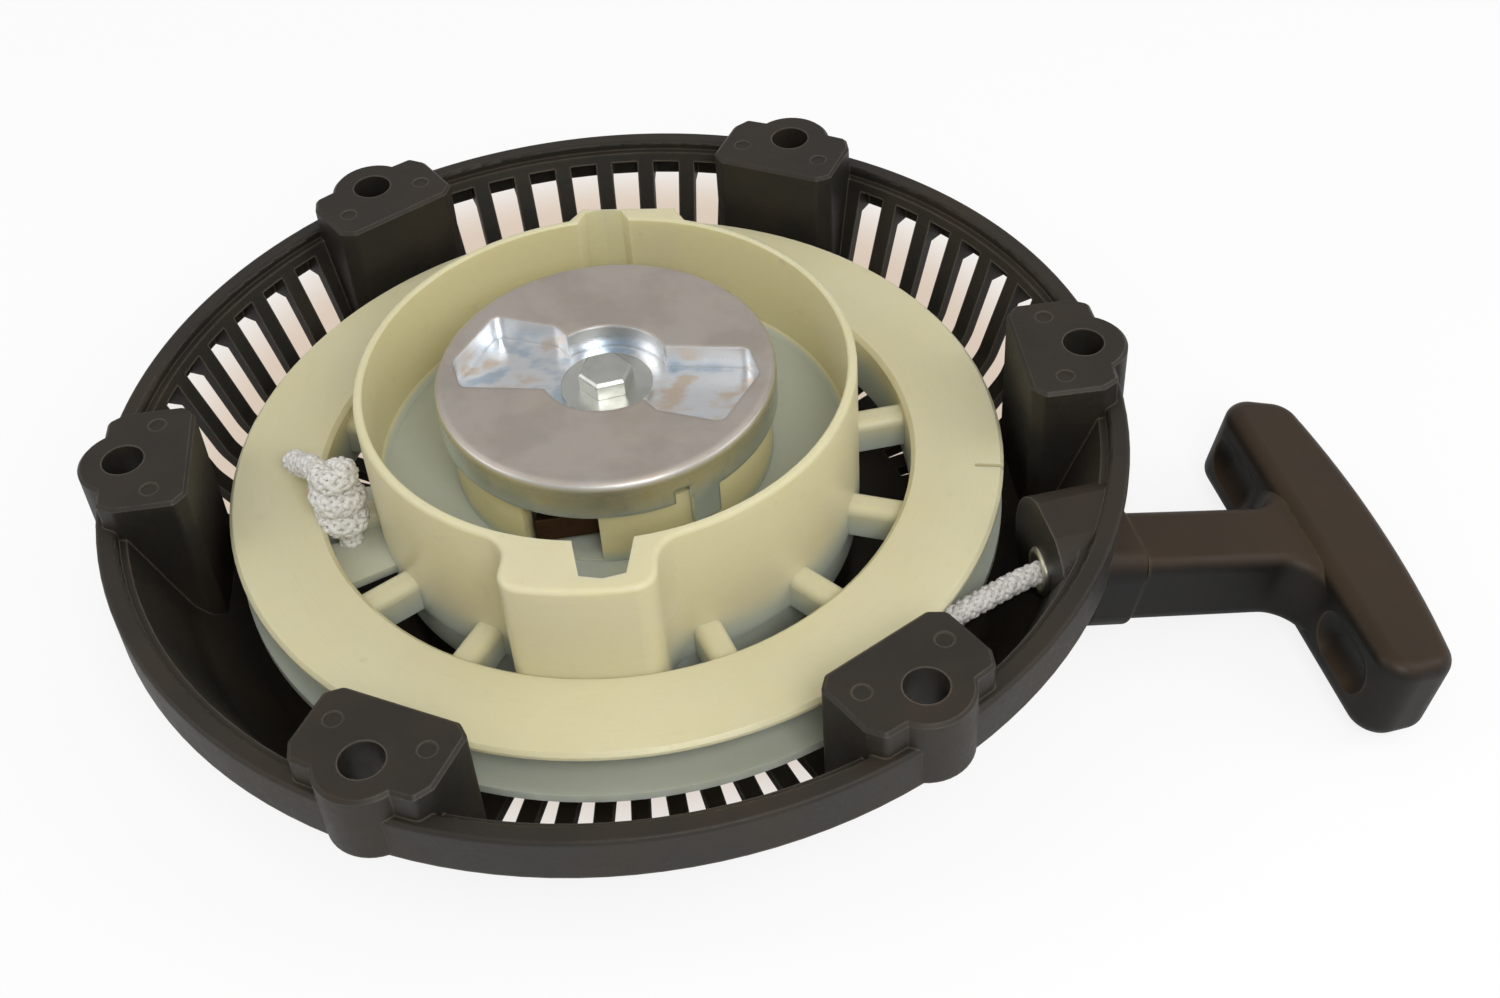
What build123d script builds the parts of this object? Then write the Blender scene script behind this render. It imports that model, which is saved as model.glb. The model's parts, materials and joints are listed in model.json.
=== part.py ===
from build123d import *
from math import acos, atan2, cos, degrees, hypot, pi, radians, sin, tan
import os

# Recoil starter, millimetres.  Origin: centre of the bolt circle on the face that
# meets the engine.  +Z points to the engine, +X to the pull grip's side.

# ---------------------------------------------------------------- housing sizes
bolt_circle_radius = 105.0
lug_count = 6
lug_turn = 4.3
lug_hole_radius = 4.5
lug_half_width = 15.6
lug_reach_in = 14.5
lug_boss_radius = 9.8
lug_corner = 1.6
lug_edge = 0.7
lug_seat = 12.0
pin_mark_radius = 1.9
pin_mark_depth = 0.3
pin_mark_reach = 10.2
bolt_access_radius = 9.2

rim_radius = 112.2
rim_drop = 6.6
rim_lip = 4.4
rim_step = 2.2
rim_band_bottom = 17.2
housing_depth = 49.8
wall = 3.0
wall_lean = 21.0
knee_depth = 31.0
floor_radius = 84.0
knee_round = 9.0
plateau_radius = 48.0
plateau_depth = 35.2

slot_pitch = 5.85
slot_bar = 4.1
slot_top = 11.0
slot_inner_radius = 68.0
slot_outer_radius = 109.4
slot_angles = [34.3, 94.3, 154.3, 274.3]
slot_counts = [7, 7, 7, 9]

shaft_radius = 9.0
shaft_top = 1.0
anchor_radius = 15.0
anchor_top = 21.0
running_gap = 0.05
axial_gap = 0.1
seat_gap = 0.3

# ---------------------------------------------------------------- drum sizes
drum_radius = 85.7
drum_top = 15.0
drum_thickness = 14.7
flange_thickness = 2.2
rope_core_radius = 70.5
drum_opening_radius = 65.5
cup_radius = 54.0
cup_wall = 2.0
cup_top = 10.0
cup_floor_top = 14.0
cup_floor = 2.5
cavity_radius = 50.2
spoke_width = 6.2
spoke_round = 2.2
spoke_top = 18.0
spoke_height = 8.0
spoke_offsets = [25.0, 50.0, 76.0, 104.0, 130.0, 155.0]
lobe_angle = 265.0
lobe_radius = 66.2
lobe_half_angle = 14.0
lobe_foot_angle = 17.0
lobe_corner = 5.0
lobe_blend = 7.0
back_half_angle = 10.9
back_foot_angle = 19.5
back_lobe_corner = 4.0
back_lobe_blend = 6.0
cup_edge = 1.2
back_lobe_angle = 84.5
back_lobe_radius = 57.8
recess_angle = 269.7
back_recess_angle = 90.5
recess_mouth_half = 7.2
recess_end_half = 4.3
recess_end_radius = 61.8
knot_angle = 191.5
knot_radius = 6.1
knot_tail_reach = 10.4
knot_plate_top = 22.0
handle_knot_radius = 6.0
hub_ring_outer = 35.1
hub_ring_wall = 3.1
hub_ring_rise = 1.0
sleeve_radius = 13.0
bush_wall = 1.5

# ---------------------------------------------------------------- centre sizes
cap_radius = 36.75
cap_top = 9.5
cap_sheet = 1.6
cap_skirt = 9.1
cap_recess = 6.0
cap_tab_angle = 303.5
cap_tab_width = 6.5
cap_tab_drop = 7.7

pawl_pivot_radius = 24.5
pawl_pivot_angle = 276.0
pawl_tip_radius = 34.0
pawl_tip_angle = 241.0
pawl_thickness = 6.0
pawl_bottom = 12.0
pawl_pin_radius = 2.5
window_start = 238.0
window_end = 266.0

bolt_radius = 3.0
bolt_hex = 10.5
bolt_head = 4.2
bolt_washer_radius = 10.0
bolt_washer_height = 1.5
insert_radius = 5.0
insert_length = 14.0

# ---------------------------------------------------------------- rope and grip
rope_radius = 2.0
rope_sides = 12
rope_inner_lay = 72.7
rope_outer_lay = 76.5
rope_side = 2.3

exit_inset = 1.4
exit_angle = -22.8
exit_turn = 10.5
exit_wall = 2.5
sleeve_outer = 16.6
pocket_radius = 14.2
pocket_lower = 0.75
eyelet_radius = 4.9
eyelet_bore = 2.75
eyelet_lip_radius = 5.4

grip_droop = 13.5
grip_mouth = 6.0
collar_radius = 12.8
collar_length = 10.5
collar_half = 10.4
collar_corner = 5.5
collar_edge = 1.2
stem_half_width = 9.0
stem_half_height = 8.9
stem_blend = 8.0
bar_inner = 49.8
bar_outer = 66.8
bar_bow = 3.8
bar_half_length = 45.0
bar_half_height = 10.4
bar_taper = 3.0
bar_corner = 6.5
grip_edge = 3.4
scoop_radius = 8.0
scoop_depth = 2.2
scoop_start = 23.5
scoop_end = 32.5

spring_width = 12.6
spring_strip = 0.7
spring_pitch = 1.15
spring_packed_turns = 5
spring_hook_angle = 95.0

# ---------------------------------------------------------------- derived levels
rim_top_z = -rim_drop
band_bottom_z = -rim_band_bottom
base_z = -housing_depth
floor_z = base_z + wall
knee_z = -knee_depth
plateau_z = -plateau_depth
drum_top_z = -drum_top
drum_bottom_z = drum_top_z - drum_thickness
rope_z = (drum_top_z + drum_bottom_z) / 2
cup_floor_z = -cup_floor_top
cap_under_z = cap_top - cap_sheet
recess_top_z = cap_top - cap_recess
recess_under_z = recess_top_z - cap_sheet
cup_inner = cup_radius - cup_wall
wall_slope = tan(radians(wall_lean))


def wall_inner(z):
    """Inner radius of the leaning wall at height z."""
    return rim_radius - rim_lip - 1.7 - (rim_top_z - rim_step - z) * wall_slope


exit_radius = wall_inner(rope_z) - exit_inset
knot_place_radius = cup_radius + knot_radius + 0.7
lug_trim_radius = plateau_radius + 12


def spot(radius, angle, z=0.0):
    """Point at a polar place."""
    return Vector(radius * cos(radians(angle)), radius * sin(radians(angle)), z)


def flat(radius, angle):
    """Polar place as a plain pair."""
    return (radius * cos(radians(angle)), radius * sin(radians(angle)))


def housing_corner(profile, place):
    """The corner of a section that lies nearest to a radius and height."""
    return sorted(
        profile.vertices(), key=lambda v: hypot(v.X - place[0], v.Y - place[1])
    )[0]


def turned_ball(radius):
    """A faceted ball for a tied knot, turned about Z."""
    with BuildPart() as ball:
        with BuildSketch(Plane.XZ):
            RegularPolygon(radius, rope_sides)
            with Locations((-radius, 0)):
                Rectangle(2 * radius, 4 * radius, mode=Mode.SUBTRACT)
        revolve()
    return ball.part


def finish(piece, name):
    """Label one piece and write its file."""
    piece.label = name
    export_step(piece, "parts/" + name + ".step")


os.makedirs("parts", exist_ok=True)

# ---------------------------------------------------------------- rope exit frame
exit_point = spot(exit_radius, exit_angle, rope_z)
pull = Vector(cos(radians(exit_turn)), sin(radians(exit_turn)), 0)
across = Vector(-sin(radians(exit_turn)), cos(radians(exit_turn)), 0)
exit_plane = Plane(origin=exit_point, x_dir=across, z_dir=pull)
droop = radians(grip_droop)
grip_axis = Vector(pull.X * cos(droop), pull.Y * cos(droop), -sin(droop))
mouth = exit_point + grip_axis * grip_mouth
grip_place = Plane(origin=mouth, x_dir=across, z_dir=grip_axis).location
boss_face = grip_mouth * cos(droop) - collar_radius * sin(droop) - seat_gap

# ---------------------------------------------------------------- lug towers
with BuildSketch() as lug_shape:
    with BuildLine():
        Polyline(
            (-lug_reach_in, -lug_half_width + 3),
            (-lug_reach_in, lug_half_width - 3),
            (-lug_reach_in + 2.5, lug_half_width),
            (0.8, lug_half_width),
            (4.6, lug_half_width - 2.2),
            (5.0, 5.0),
            (5.0, -5.0),
            (4.6, -lug_half_width + 2.2),
            (0.8, -lug_half_width),
            (-lug_reach_in + 2.5, -lug_half_width),
            close=True,
        )
    make_face()
    fillet(lug_shape.vertices(), radius=lug_corner)
    Circle(lug_boss_radius)

with BuildPart() as lug_towers:
    with BuildSketch(Plane.XY.offset(base_z)):
        with PolarLocations(bolt_circle_radius, lug_count, start_angle=lug_turn):
            add(lug_shape.sketch)
    extrude(amount=housing_depth)
    # trimmed just inside the wall's outer skin
    with BuildSketch(Plane.XZ):
        with BuildLine():
            Polyline(
                (lug_trim_radius, floor_z - 1),
                (floor_radius, floor_z - 1),
                (wall_inner(knee_z) + wall * 0.4, knee_z - 1),
                (wall_inner(band_bottom_z) + wall * 0.6, band_bottom_z + 0.4),
                (bolt_circle_radius + 20, band_bottom_z + 0.4),
                (bolt_circle_radius + 20, 0),
                (lug_trim_radius, 0),
                close=True,
            )
        make_face()
    revolve(mode=Mode.INTERSECT)
    chamfer(lug_towers.edges().group_by(Axis.Z)[-1], length=lug_edge)

# ---------------------------------------------------------------- exit sleeve
with BuildPart() as exit_sleeve:
    with BuildSketch(exit_plane.offset(-exit_wall)):
        with Locations((0, -pocket_lower)):
            Circle(sleeve_outer)
    extrude(amount=45)
    with BuildSketch(Plane.XZ):
        with BuildLine():
            Polyline(
                (lug_trim_radius, floor_z - 1),
                (floor_radius, floor_z - 1),
                (wall_inner(knee_z) + wall * 0.4, knee_z - 1),
                (wall_inner(band_bottom_z) + wall * 0.6, band_bottom_z + 0.4),
                (rim_radius - 1, band_bottom_z + 0.4),
                (rim_radius - 1, rim_top_z - 0.8),
                (lug_trim_radius, rim_top_z - 0.8),
                close=True,
            )
        make_face()
    revolve(mode=Mode.INTERSECT)

# ---------------------------------------------------------------- housing
with BuildPart() as housing:
    with BuildSketch(Plane.XZ) as housing_profile:
        with BuildLine():
            Polyline(
                (0, plateau_z - wall),
                (plateau_radius - 3, plateau_z - wall),
                (plateau_radius + 1, base_z),
                (floor_radius + 1.4, base_z),
                (wall_inner(knee_z) + wall * 0.8, knee_z - 1),
                (wall_inner(band_bottom_z) + wall, band_bottom_z),
                (rim_radius, band_bottom_z),
                (rim_radius, rim_top_z),
                (rim_radius - rim_lip, rim_top_z),
                (rim_radius - rim_lip, rim_top_z - rim_step),
                (wall_inner(rim_top_z - rim_step), rim_top_z - rim_step),
                (wall_inner(knee_z), knee_z),
                (floor_radius, floor_z),
                (plateau_radius + 4, floor_z),
                (plateau_radius, plateau_z),
                (anchor_radius, plateau_z),
                (anchor_radius, -anchor_top),
                (shaft_radius, -anchor_top),
                (shaft_radius, -shaft_top),
                (0, -shaft_top),
                close=True,
            )
        make_face()
        knees = [
            ((wall_inner(knee_z), knee_z), knee_round),
            ((floor_radius, floor_z), knee_round),
            ((wall_inner(knee_z) + wall * 0.8, knee_z - 1), knee_round + wall),
            ((floor_radius + 1.4, base_z), knee_round + wall),
            ((plateau_radius, plateau_z), 2.5),
            ((plateau_radius + 4, floor_z), 2.5),
            ((rim_radius, rim_top_z), 1.0),
            ((rim_radius - rim_lip, rim_top_z), 0.8),
            ((anchor_radius, -anchor_top), 0.8),
        ]
        for place, size in knees:
            fillet(housing_corner(housing_profile, place), radius=size)
    revolve()
    # cooling slots between straight bars, down the wall and into the floor
    with BuildSketch(Plane.XY.offset(base_z - 1)):
        for group_angle, gaps in zip(slot_angles, slot_counts):
            for k in range(gaps):
                turn = group_angle + (k - (gaps - 1) / 2) * slot_pitch
                half_in = slot_inner_radius * tan(radians(slot_pitch / 2)) - slot_bar / 2
                half_out = slot_outer_radius * tan(radians(slot_pitch / 2)) - slot_bar / 2
                with Locations(Location((0, 0, 0), (0, 0, turn))):
                    Polygon(
                        (slot_inner_radius, -half_in),
                        (slot_outer_radius, -half_out),
                        (slot_outer_radius, half_out),
                        (slot_inner_radius, half_in),
                        align=None,
                    )
    extrude(amount=housing_depth + 1 - slot_top, mode=Mode.SUBTRACT)
    add(lug_towers.part)
    add(exit_sleeve.part)
    # pocket that lets the grip's collar in, and the eyelet's hole
    with BuildSketch(exit_plane.offset(boss_face)):
        with Locations((0, -pocket_lower)):
            Circle(pocket_radius)
    extrude(amount=40, mode=Mode.SUBTRACT)
    with BuildSketch(exit_plane.offset(-exit_wall - 4)):
        Circle(eyelet_radius)
    extrude(amount=12, mode=Mode.SUBTRACT)
    with BuildSketch(exit_plane.offset(-exit_wall - 5)):
        Circle(eyelet_lip_radius + seat_gap)
    extrude(amount=5, mode=Mode.SUBTRACT)
    # shallow moulding-pin marks either side of each bolt hole
    with BuildSketch(Plane.XY):
        with PolarLocations(bolt_circle_radius, lug_count, start_angle=lug_turn):
            with Locations((-6.5, pin_mark_reach), (-6.5, -pin_mark_reach)):
                Circle(pin_mark_radius)
    extrude(amount=-pin_mark_depth, mode=Mode.SUBTRACT)
    # engine bolt holes with room for each bolt head from outside
    with BuildSketch(Plane.XY):
        with PolarLocations(bolt_circle_radius, lug_count, start_angle=lug_turn):
            Circle(lug_hole_radius)
    extrude(amount=-lug_seat - 1, mode=Mode.SUBTRACT)
    with BuildSketch(Plane.XY.offset(-lug_seat)):
        with PolarLocations(bolt_circle_radius, lug_count, start_angle=lug_turn):
            Circle(bolt_access_radius)
    extrude(amount=-housing_depth, mode=Mode.SUBTRACT)
    # insert seat, and the slit that holds the spring's inner end
    with BuildSketch(Plane.XY.offset(-shaft_top)):
        Circle(insert_radius)
    extrude(amount=-insert_length, mode=Mode.SUBTRACT)
    with BuildSketch(Plane.XY.offset(plateau_z)):
        with Locations((0, -anchor_radius)):
            Rectangle(2.0, 7.0)
    extrude(amount=plateau_depth - anchor_top, mode=Mode.SUBTRACT)
finish(housing.part, "housing")

with BuildPart() as post_insert:
    with BuildSketch(Plane.XY.offset(-shaft_top)):
        Circle(insert_radius)
        Circle(bolt_radius, mode=Mode.SUBTRACT)
    extrude(amount=-insert_length)
finish(post_insert.part, "post_insert")

# ---------------------------------------------------------------- eyelet
with BuildPart() as eyelet_turned:
    with BuildSketch(Plane.XZ):
        with BuildLine():
            Polyline(
                (eyelet_bore, -1.6),
                (eyelet_bore, 1.0),
                (eyelet_bore + 1.2, boss_face),
                (eyelet_radius, boss_face),
                (eyelet_radius, -exit_wall),
                (eyelet_lip_radius, -exit_wall),
                (eyelet_lip_radius, -exit_wall - 0.6),
                (eyelet_lip_radius - 0.5, -exit_wall - 1.1),
                (eyelet_bore + 1.5, -exit_wall - 1.1),
                (eyelet_bore + 0.6, -exit_wall - 0.3),
                close=True,
            )
        make_face()
    revolve()
finish(eyelet_turned.part.moved(exit_plane.location), "eyelet")

# ---------------------------------------------------------------- drum
# one spoke, lying along X with its rounded top at the origin's height
spoke_middle = 0.5 * (cup_radius + drum_opening_radius)
with BuildPart() as spoke:
    spoke_length = drum_opening_radius - cup_radius + 2
    Box(spoke_length, spoke_width, spoke_height, align=(Align.CENTER, Align.CENTER, Align.MAX))
    fillet(spoke.edges().filter_by(Axis.X).group_by(Axis.Z)[-1], radius=spoke_round)

# the cup's wall with its two lobes, all blended and rounded along the top
with BuildPart() as cup_ring:
    with BuildSketch(Plane.XY.offset(-spoke_top - spoke_height)) as cup_outline:
        Circle(cup_radius)
        with BuildLine():
            front_left = flat(lobe_radius, lobe_angle - lobe_half_angle)
            front_right = flat(lobe_radius, lobe_angle + lobe_half_angle)
            foot_left = flat(cup_radius - 4, lobe_angle - lobe_foot_angle)
            foot_right = flat(cup_radius - 4, lobe_angle + lobe_foot_angle)
            ThreePointArc(front_left, flat(lobe_radius, lobe_angle), front_right)
            Polyline(front_right, foot_right, foot_left, front_left)
        make_face()
        Polygon(
            flat(cup_radius - 4, back_lobe_angle + back_foot_angle),
            flat(back_lobe_radius, back_lobe_angle + back_half_angle),
            flat(back_lobe_radius, back_lobe_angle - back_half_angle),
            flat(cup_radius - 4, back_lobe_angle - back_foot_angle),
            align=None,
        )
        corners = cup_outline.vertices()
        outer = [v for v in corners if hypot(v.X, v.Y) > cup_radius + 1]
        fillet([v for v in outer if v.Y < 0], radius=lobe_corner)
        fillet([v for v in outer if v.Y > 0], radius=back_lobe_corner)
        corners = cup_outline.vertices()
        necks = [v for v in corners if abs(hypot(v.X, v.Y) - cup_radius) < 0.01]
        fillet([v for v in necks if v.Y < 0], radius=lobe_blend)
        fillet([v for v in necks if v.Y > 0], radius=back_lobe_blend)
        Circle(cup_inner, mode=Mode.SUBTRACT)
    extrude(amount=spoke_top + spoke_height + cup_top)
    top_rims = cup_ring.faces().sort_by(Axis.Z)[-1]
    fillet(top_rims.outer_wire().edges(), radius=cup_edge)
    chamfer(top_rims.inner_wires()[0].edges(), length=0.4)

with BuildPart() as drum:
    # rope sheave
    with BuildSketch(Plane.XZ):
        with BuildLine():
            Polyline(
                (drum_opening_radius, drum_bottom_z),
                (drum_radius, drum_bottom_z),
                (drum_radius, drum_bottom_z + flange_thickness),
                (rope_core_radius, drum_bottom_z + flange_thickness),
                (rope_core_radius, drum_top_z - flange_thickness),
                (drum_radius - 0.6, drum_top_z - flange_thickness),
                (drum_radius, drum_top_z - flange_thickness + 0.6),
                (drum_radius, drum_top_z - 0.8),
                (drum_radius - 0.8, drum_top_z),
                (drum_opening_radius + 1, drum_top_z),
                (drum_opening_radius, drum_top_z - 1),
                close=True,
            )
        make_face()
    revolve()
    # starter cup wall, floor, spring cavity, hub ring and bearing sleeve
    with BuildSketch(Plane.XZ):
        with BuildLine():
            Polyline(
                (insert_radius + 5.5, -anchor_top + axial_gap),
                (sleeve_radius, -anchor_top + axial_gap),
                (sleeve_radius, cup_floor_z - cup_floor),
                (cavity_radius, cup_floor_z - cup_floor),
                (cavity_radius, plateau_z + 1),
                (cup_radius - 0.8, plateau_z + 1),
                (cup_radius - 0.8, cup_floor_z + 2),
                (cup_inner + 0.5, cup_floor_z + 2),
                (cup_inner - 1.5, cup_floor_z),
                (hub_ring_outer, cup_floor_z),
                (hub_ring_outer, hub_ring_rise),
                (hub_ring_outer - hub_ring_wall, hub_ring_rise),
                (hub_ring_outer - hub_ring_wall, cup_floor_z),
                (sleeve_radius, cup_floor_z),
                (sleeve_radius, -shaft_top - axial_gap),
                (insert_radius + 5.5, -shaft_top - axial_gap),
                close=True,
            )
        make_face()
    revolve()
    add(cup_ring.part)
    # spokes from the cup wall to the sheave
    for spoke_turn in spoke_offsets:
        for side in (-1, 1):
            spoke_place = Rot(0, 0, lobe_angle + side * spoke_turn) * Pos(spoke_middle, 0, -spoke_top)
            add(spoke.part.moved(spoke_place))
    # floor plate under the rope knot
    with BuildSketch(Plane.XY.offset(-knot_plate_top - 2.2)):
        with BuildLine():
            plate = [
                flat(cup_radius - 1, 178),
                flat(drum_opening_radius + 1, 179),
                flat(drum_opening_radius + 1, 192),
                flat(drum_opening_radius + 1, 206),
                flat(cup_radius - 1, 206),
                flat(cup_radius - 1, 192),
            ]
            Line(plate[0], plate[1])
            ThreePointArc(plate[1], plate[2], plate[3])
            Line(plate[3], plate[4])
            ThreePointArc(plate[4], plate[5], plate[0])
        make_face()
    extrude(amount=2.2)
    # recesses in the two lobes, open to the cup
    with BuildSketch(Plane.XY.offset(cup_floor_z)):
        for angle, reach in ((recess_angle, recess_end_radius), (back_recess_angle, 55.6)):
            Polygon(
                flat(cup_inner - 1, angle - recess_mouth_half),
                flat(reach, angle - recess_end_half),
                flat(reach + 0.9, angle),
                flat(reach, angle + recess_end_half),
                flat(cup_inner - 1, angle + recess_mouth_half),
                align=None,
            )
    extrude(amount=cup_floor_top + cup_top, mode=Mode.SUBTRACT)
    # windows the pawls swing out through
    with BuildSketch(Plane.XY.offset(cup_floor_z + 0.6)):
        for turn in (0, 180):
            Polygon(
                flat(hub_ring_outer - hub_ring_wall - 2, window_start + turn),
                flat(hub_ring_outer + 2, window_start + turn),
                flat(hub_ring_outer + 2.4, (window_start + window_end) / 2 + turn),
                flat(hub_ring_outer + 2, window_end + turn),
                flat(hub_ring_outer - hub_ring_wall - 2, window_end + turn),
                align=None,
            )
    extrude(amount=cup_floor_top - 1.6, mode=Mode.SUBTRACT)
    # pawl pin seats
    with BuildSketch(Plane.XY.offset(cup_floor_z)):
        with PolarLocations(pawl_pivot_radius, 2, start_angle=pawl_pivot_angle):
            Circle(pawl_pin_radius)
    extrude(amount=-cup_floor + 0.5, mode=Mode.SUBTRACT)
    # bore for the bush
    with BuildSketch(Plane.XY.offset(-anchor_top - 1)):
        Circle(shaft_radius + running_gap + bush_wall)
    extrude(amount=anchor_top + 2, mode=Mode.SUBTRACT)
    # hole for the rope's inner end, slit in the top flange
    knot_out = Vector(*flat(1, knot_angle + 0.5), 0)
    hole_start = Vector(*flat(drum_opening_radius - 3, knot_angle + 0.5), rope_z)
    with BuildSketch(Plane(origin=hole_start, z_dir=knot_out)):
        Circle(rope_radius + 0.4)
    extrude(amount=9, mode=Mode.SUBTRACT)
    with BuildSketch(Plane.XY.offset(drum_top_z - flange_thickness - 0.5)):
        with Locations(Location((0, 0, 0), (0, 0, -9.3))):
            with Locations((drum_radius - 2, 0)):
                Rectangle(8.4, 1.0)
    extrude(amount=flange_thickness + 1, mode=Mode.SUBTRACT)
    # notch for the spring's outer hook
    with BuildSketch(Plane.XY.offset(plateau_z + 0.5)):
        with Locations(Location((0, 0, 0), (0, 0, spring_hook_angle))):
            with Locations((cavity_radius + 0.5, 0)):
                Rectangle(3.0, 5.0)
    extrude(amount=spring_width + 2, mode=Mode.SUBTRACT)
finish(drum.part, "drum")

with BuildPart() as drum_bush:
    with BuildSketch(Plane.XY.offset(-anchor_top + axial_gap)):
        Circle(shaft_radius + running_gap + bush_wall)
        Circle(shaft_radius + running_gap, mode=Mode.SUBTRACT)
    extrude(amount=anchor_top - shaft_top - 2 * axial_gap)
finish(drum_bush.part, "drum_bush")

# ---------------------------------------------------------------- rope on the drum
leave_target = exit_point - pull * 4.5
leave_reach = hypot(leave_target.X, leave_target.Y)
target_angle = degrees(atan2(leave_target.Y, leave_target.X))
leave_angle = target_angle - degrees(acos(rope_outer_lay / leave_reach))
low_z = rope_z - rope_side
leave_point = spot(rope_outer_lay, leave_angle, low_z)
run_way = (leave_target - leave_point).normalized()
clear_length = (81.5**2 - rope_outer_lay**2) ** 0.5
run_start = leave_point + run_way * clear_length

with BuildPart() as rope_winding:
    with BuildSketch(Plane.XZ):
        for lay in (rope_inner_lay, rope_outer_lay):
            with Locations((lay, rope_z + rope_side)):
                RegularPolygon(rope_radius, rope_sides)
        with Locations((rope_inner_lay, low_z)):
            RegularPolygon(rope_radius, rope_sides)
        with Locations((0.5 * (rope_inner_lay + rope_outer_lay), rope_z)):
            Rectangle(1.0, 2 * rope_side - 1.4)
    revolve()
    turned = Plane.XZ.rotated((0, 0, leave_angle + 50))
    with BuildSketch(turned):
        with Locations((rope_outer_lay, low_z)):
            RegularPolygon(rope_radius, rope_sides)
    revolve(axis=Axis.Z, revolution_arc=-310)
    with BuildSketch(Plane(origin=leave_point, z_dir=run_way)):
        Circle(rope_radius)
    extrude(amount=clear_length)
finish(rope_winding.part, "rope_winding")

run_end = exit_point - pull * exit_wall
bend_radius = 0.45 * (run_end - leave_target).length / tan(run_way.get_angle(pull) * pi / 360)
with BuildPart() as rope_run:
    with BuildLine():
        FilletPolyline(run_start, leave_target, run_end, radius=bend_radius)
    with BuildSketch(Plane(origin=run_start, z_dir=run_way)):
        Circle(rope_radius)
    sweep()
finish(rope_run.part, "rope_run")

knot_point = spot(knot_place_radius, knot_angle, -9.9)
with BuildPart() as rope_knot:
    add(turned_ball(knot_radius).moved(Pos(*knot_point)))
    tail_start = spot(knot_place_radius + 2, knot_angle - 2, drum_top_z + rope_radius + 0.2)
    tail_end = spot(knot_place_radius + knot_tail_reach, 179.0, drum_top_z + rope_radius + 0.2)
    with BuildSketch(Plane(origin=tail_start, z_dir=tail_end - tail_start)):
        Circle(rope_radius)
    extrude(amount=(tail_end - tail_start).length)
    stem_low = spot(knot_place_radius, knot_angle, rope_z + 2.35 + rope_radius)
    with BuildSketch(Plane(origin=stem_low, z_dir=(0, 0, 1))):
        Circle(rope_radius)
    extrude(amount=-10.5 - stem_low.Z)
finish(rope_knot.part, "rope_knot")

# ---------------------------------------------------------------- pawls and their pins
with BuildPart() as pawl_pins:
    with BuildSketch(Plane.XY.offset(cup_floor_z - cup_floor + 0.5)):
        with PolarLocations(pawl_pivot_radius, 2, start_angle=pawl_pivot_angle):
            Circle(pawl_pin_radius)
    extrude(amount=cup_floor - 0.5 + cup_floor_top - 4.6)
    with BuildSketch(Plane.XY.offset(-pawl_bottom + pawl_thickness + axial_gap)):
        with PolarLocations(pawl_pivot_radius, 2, start_angle=pawl_pivot_angle):
            Circle(pawl_pin_radius + 1.3)
            Circle(pawl_pin_radius - 0.4, mode=Mode.SUBTRACT)
    extrude(amount=0.8)
finish(pawl_pins.part, "pawl_pins")

for turn, pawl_name in ((0, "pawl_a"), (180, "pawl_b")):
    pivot = flat(pawl_pivot_radius, pawl_pivot_angle + turn)
    with BuildPart() as pawl:
        with BuildSketch(Plane.XY.offset(-pawl_bottom)):
            with BuildLine():
                Polyline(
                    flat(pawl_tip_radius, pawl_tip_angle + turn),
                    flat(pawl_tip_radius - 4.3, pawl_tip_angle - 1.6 + turn),
                    flat(pawl_pivot_radius - 3.4, pawl_pivot_angle - 1.5 + turn),
                    flat(pawl_pivot_radius + 3.4, pawl_pivot_angle - 1.5 + turn),
                    close=True,
                )
            make_face()
            with Locations(pivot):
                Circle(3.6)
                Circle(pawl_pin_radius + running_gap, mode=Mode.SUBTRACT)
        extrude(amount=pawl_thickness)
    finish(pawl.part, pawl_name)

with BuildPart() as pawl_springs:
    with BuildSketch(Plane.XY.offset(cup_floor_z + 0.2)):
        for turn in (0, 180):
            pivot_angle = pawl_pivot_angle + turn
            with Locations(flat(pawl_pivot_radius, pivot_angle)):
                Circle(pawl_pin_radius + 1.2)
            reach = Location((0, 0, 0), (0, 0, pivot_angle - 8))
            with Locations(reach):
                with Locations((pawl_pivot_radius - 6.2, -5.0)):
                    Rectangle(1.0, 12.0)
            with Locations(reach):
                with Locations((pawl_pivot_radius - 4.2, 1.2)):
                    Rectangle(5.0, 1.0)
            with Locations(flat(pawl_pivot_radius, pivot_angle)):
                Circle(pawl_pin_radius + 0.1, mode=Mode.SUBTRACT)
    extrude(amount=1.4)
finish(pawl_springs.part, "pawl_springs")

# ---------------------------------------------------------------- guide plate
lobe_corners = [(11.5, 5.8), (31.0, 3.0), (33.0, -5.5), (24.5, -20.0), (11.0, -15.0)]
with BuildSketch() as bow_tie:
    Polygon(*lobe_corners, (0, 0), align=None)
    Polygon(*[(-x, -y) for x, y in lobe_corners], (0, 0), align=None)
    fillet([v for v in bow_tie.vertices() if hypot(v.X, v.Y) > 28], radius=2.2)
    Circle(14.0)

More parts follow.
